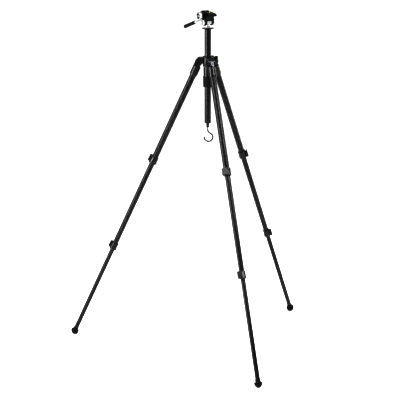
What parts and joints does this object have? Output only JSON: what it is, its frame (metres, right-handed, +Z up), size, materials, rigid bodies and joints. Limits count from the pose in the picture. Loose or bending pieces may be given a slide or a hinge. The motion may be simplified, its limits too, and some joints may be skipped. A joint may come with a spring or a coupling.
{
  "type": "camera tripod",
  "caption": "Black tripod with telescoping carbon legs, flip-lever clamps, sliding centre column with weight hook, and a pan and tilt head with quick-release plate and handle.",
  "frame": {"origin": "on the floor plane the feet stand on, at the middle of the whole object's box seen from above", "axes": "+Z up along the centre column; the front leg points along -Y; the other two legs point 30 degrees behind +X and -X"},
  "size_m": [1.1412, 0.993, 1.5318],
  "materials": {
    "carbon": "woven carbon-fibre composite under clear lacquer, black",
    "casting": "black semi-gloss paint on die-cast alloy",
    "lever_gloss": "glossy black moulded nylon",
    "rubber": "matt black rubber",
    "steel": "satin zinc-plated steel",
    "satin_silver": "satin anodised aluminium",
    "column_black": "glossy black anodised aluminium tube",
    "black_alloy": "black satin paint on die-cast alloy",
    "black_plastic": "matt black moulded plastic",
    "level_vial": "clear yellow-green bubble level in a black ring",
    "brass": "turned brass"
  },
  "bodies": {
    "hub": {"hub": "casting", "guide_bush": "black_plastic", "spirit_level": "level_vial", "front_hinge_bolt": "steel", "right_hinge_bolt": "steel", "left_hinge_bolt": "steel"},
    "column": {"column_tube": "column_black", "column_top_plate": "black_alloy", "head_stud": "steel", "pan_base": "satin_silver", "column_end_cap": "black_alloy"},
    "hook": {"weight_hook": "steel"},
    "lock_collar": {"column_lock_collar": "rubber"},
    "brake": {"column_brake_knob": "lever_gloss"},
    "pan_head": {"pan_body": "satin_silver", "tilt_shaft": "steel", "tilt_shaft_cap": "black_alloy"},
    "tilt_lock": {"tilt_knob": "satin_silver"},
    "tilt_head": {"tilt_body": "black_alloy", "plate_seat": "black_alloy"},
    "jaw": {"clamp_jaw": "black_alloy"},
    "jaw_knob": {"clamp_knob": "satin_silver", "clamp_knob_inset": "black_plastic"},
    "camera_plate": {"quick_release_plate": "black_alloy", "plate_pad": "rubber"},
    "camera_screw": {"camera_screw": "brass"},
    "handle": {"handle_rod": "steel", "handle_lock_nut": "black_alloy", "handle_ferrule": "satin_silver", "handle_grip": "rubber"},
    "front_upper_leg": {"front_leg_bracket": "casting", "front_upper_tube": "carbon", "front_upper_clamp": "casting"},
    "front_middle_leg": {"front_middle_tube": "carbon", "front_lower_clamp": "casting"},
    "front_lower_leg": {"front_lower_tube": "carbon", "front_foot": "rubber"},
    "front_upper_flip": {"front_upper_lever": "lever_gloss"},
    "front_lower_flip": {"front_lower_lever": "lever_gloss"},
    "front_stop": {"front_angle_stop": "satin_silver"},
    "right_upper_leg": {"right_leg_bracket": "casting", "right_upper_tube": "carbon", "right_upper_clamp": "casting"},
    "right_middle_leg": {"right_middle_tube": "carbon", "right_lower_clamp": "casting"},
    "right_lower_leg": {"right_lower_tube": "carbon", "right_foot": "rubber"},
    "right_upper_flip": {"right_upper_lever": "lever_gloss"},
    "right_lower_flip": {"right_lower_lever": "lever_gloss"},
    "right_stop": {"right_angle_stop": "satin_silver"},
    "left_upper_leg": {"left_leg_bracket": "casting", "left_upper_tube": "carbon", "left_upper_clamp": "casting"},
    "left_middle_leg": {"left_middle_tube": "carbon", "left_lower_clamp": "casting"},
    "left_lower_leg": {"left_lower_tube": "carbon", "left_foot": "rubber"},
    "left_upper_flip": {"left_upper_lever": "lever_gloss"},
    "left_lower_flip": {"left_lower_lever": "lever_gloss"},
    "left_stop": {"left_angle_stop": "satin_silver"}
  },
  "joints": [
    {"name": "column_slide", "type": "slide", "parent": "hub", "child": "column", "axis": [0, 0, 1], "range_m": [-0.117, 0.15]},
    {"name": "collar_twist", "type": "hinge", "parent": "hub", "child": "lock_collar", "pos_m": [0, 0.1594, 1.2175], "axis": [0, 0, -1], "range_deg": [0, 120]},
    {"name": "brake_turn", "type": "hinge", "parent": "hub", "child": "brake", "pos_m": [0.02598, 0.1444, 1.3225], "axis": [0.866, -0.5, 0], "range_deg": [0, 360]},
    {"name": "hook_swivel", "type": "hinge", "parent": "column", "child": "hook", "pos_m": [0, 0.1594, 1.02], "axis": [0, 0, 1], "continuous": true},
    {"name": "pan", "type": "hinge", "parent": "column", "child": "pan_head", "pos_m": [0, 0.1594, 1.4615], "axis": [0, 0, 1], "continuous": true},
    {"name": "tilt", "type": "hinge", "parent": "pan_head", "child": "tilt_head", "pos_m": [0, 0.1594, 1.481], "axis": [0.969, 0.247, 0], "range_deg": [-45, 70]},
    {"name": "tilt_knob_turn", "type": "hinge", "parent": "pan_head", "child": "tilt_lock", "pos_m": [-0.02616, 0.15273, 1.481], "axis": [-0.969, -0.247, 0], "range_deg": [0, 180]},
    {"name": "jaw_slide", "type": "slide", "parent": "tilt_head", "child": "jaw", "axis": [-0.969, -0.247, 0], "range_m": [0, 0.00187]},
    {"name": "clamp_knob_turn", "type": "hinge", "parent": "jaw", "child": "jaw_knob", "pos_m": [-0.04073, 0.15725, 1.51003], "axis": [-0.969, -0.247, 0], "range_deg": [0, 540]},
    {"name": "plate_slide", "type": "slide", "parent": "tilt_head", "child": "camera_plate", "axis": [-0.2432, 0.9543, 0.1736], "range_m": [-0.012, 0.012]},
    {"name": "camera_screw_turn", "type": "hinge", "parent": "camera_plate", "child": "camera_screw", "pos_m": [0.00326, 0.1466, 1.52132], "axis": [0.0429, -0.1683, 0.9848], "continuous": true},
    {"name": "handle_twist", "type": "hinge", "parent": "tilt_head", "child": "handle", "pos_m": [-0.01541, 0.21987, 1.48613], "axis": [-0.2356, 0.9242, -0.3007], "range_deg": [0, 180]},
    {"name": "front_fold", "type": "hinge", "parent": "hub", "child": "front_upper_leg", "pos_m": [0, 0.1205, 1.306], "axis": [1, 0, 0], "range_deg": [0, 24]},
    {"name": "front_middle_slide", "type": "slide", "parent": "front_upper_leg", "child": "front_middle_leg", "axis": [0, 0.4215, 0.9068], "range_m": [0, 0.4]},
    {"name": "front_lower_slide", "type": "slide", "parent": "front_middle_leg", "child": "front_lower_leg", "axis": [0, 0.4215, 0.9068], "range_m": [0, 0.41]},
    {"name": "front_upper_lever_flip", "type": "hinge", "parent": "front_upper_leg", "child": "front_upper_flip", "pos_m": [-0.0145, -0.1085, 0.84773], "axis": [0.7071, -0.6412, 0.2981], "range_deg": [0, 95]},
    {"name": "front_lower_lever_flip", "type": "hinge", "parent": "front_middle_leg", "child": "front_lower_flip", "pos_m": [-0.01322, -0.29939, 0.43404], "axis": [0.7071, -0.6412, 0.2981], "range_deg": [0, 95]},
    {"name": "front_stop_pull", "type": "slide", "parent": "front_upper_leg", "child": "front_stop", "axis": [0, -0.9068, 0.4215], "range_m": [0, 0.006], "stiffness_N_per_m": 200},
    {"name": "right_fold", "type": "hinge", "parent": "hub", "child": "right_upper_leg", "pos_m": [0.03369, 0.17885, 1.306], "axis": [-0.5, 0.866, 0], "range_deg": [0, 24]},
    {"name": "right_middle_slide", "type": "slide", "parent": "right_upper_leg", "child": "right_middle_leg", "axis": [-0.365, -0.2108, 0.9068], "range_m": [0, 0.4]},
    {"name": "right_lower_slide", "type": "slide", "parent": "right_middle_leg", "child": "right_lower_leg", "axis": [-0.365, -0.2108, 0.9068], "range_m": [0, 0.41]},
    {"name": "right_upper_lever_flip", "type": "hinge", "parent": "right_upper_leg", "child": "right_upper_flip", "pos_m": [0.23926, 0.28079, 0.84773], "axis": [0.2018, 0.933, 0.2981], "range_deg": [0, 95]},
    {"name": "right_lower_lever_flip", "type": "hinge", "parent": "right_middle_leg", "child": "right_lower_flip", "pos_m": [0.40393, 0.37734, 0.43404], "axis": [0.2018, 0.933, 0.2981], "range_deg": [0, 95]},
    {"name": "right_stop_pull", "type": "slide", "parent": "right_upper_leg", "child": "right_stop", "axis": [0.7853, 0.4534, 0.4215], "range_m": [0, 0.006], "stiffness_N_per_m": 200},
    {"name": "left_fold", "type": "hinge", "parent": "hub", "child": "left_upper_leg", "pos_m": [-0.03369, 0.17885, 1.306], "axis": [-0.5, -0.866, 0], "range_deg": [0, 24]},
    {"name": "left_middle_slide", "type": "slide", "parent": "left_upper_leg", "child": "left_middle_leg", "axis": [0.365, -0.2108, 0.9068], "range_m": [0, 0.4]},
    {"name": "left_lower_slide", "type": "slide", "parent": "left_middle_leg", "child": "left_lower_leg", "axis": [0.365, -0.2108, 0.9068], "range_m": [0, 0.41]},
    {"name": "left_upper_lever_flip", "type": "hinge", "parent": "left_upper_leg", "child": "left_upper_flip", "pos_m": [-0.22476, 0.3059, 0.84773], "axis": [-0.9089, -0.2918, 0.2981], "range_deg": [0, 95]},
    {"name": "left_lower_lever_flip", "type": "hinge", "parent": "left_middle_leg", "child": "left_lower_flip", "pos_m": [-0.39071, 0.40024, 0.43404], "axis": [-0.9089, -0.2918, 0.2981], "range_deg": [0, 95]},
    {"name": "left_stop_pull", "type": "slide", "parent": "left_upper_leg", "child": "left_stop", "axis": [-0.7853, 0.4534, 0.4215], "range_m": [0, 0.006], "stiffness_N_per_m": 200}
  ],
  "couplings": [
    {"joint": "clamp_knob_turn", "follows": "jaw_slide", "rad_per_m": 5026.5}
  ]
}
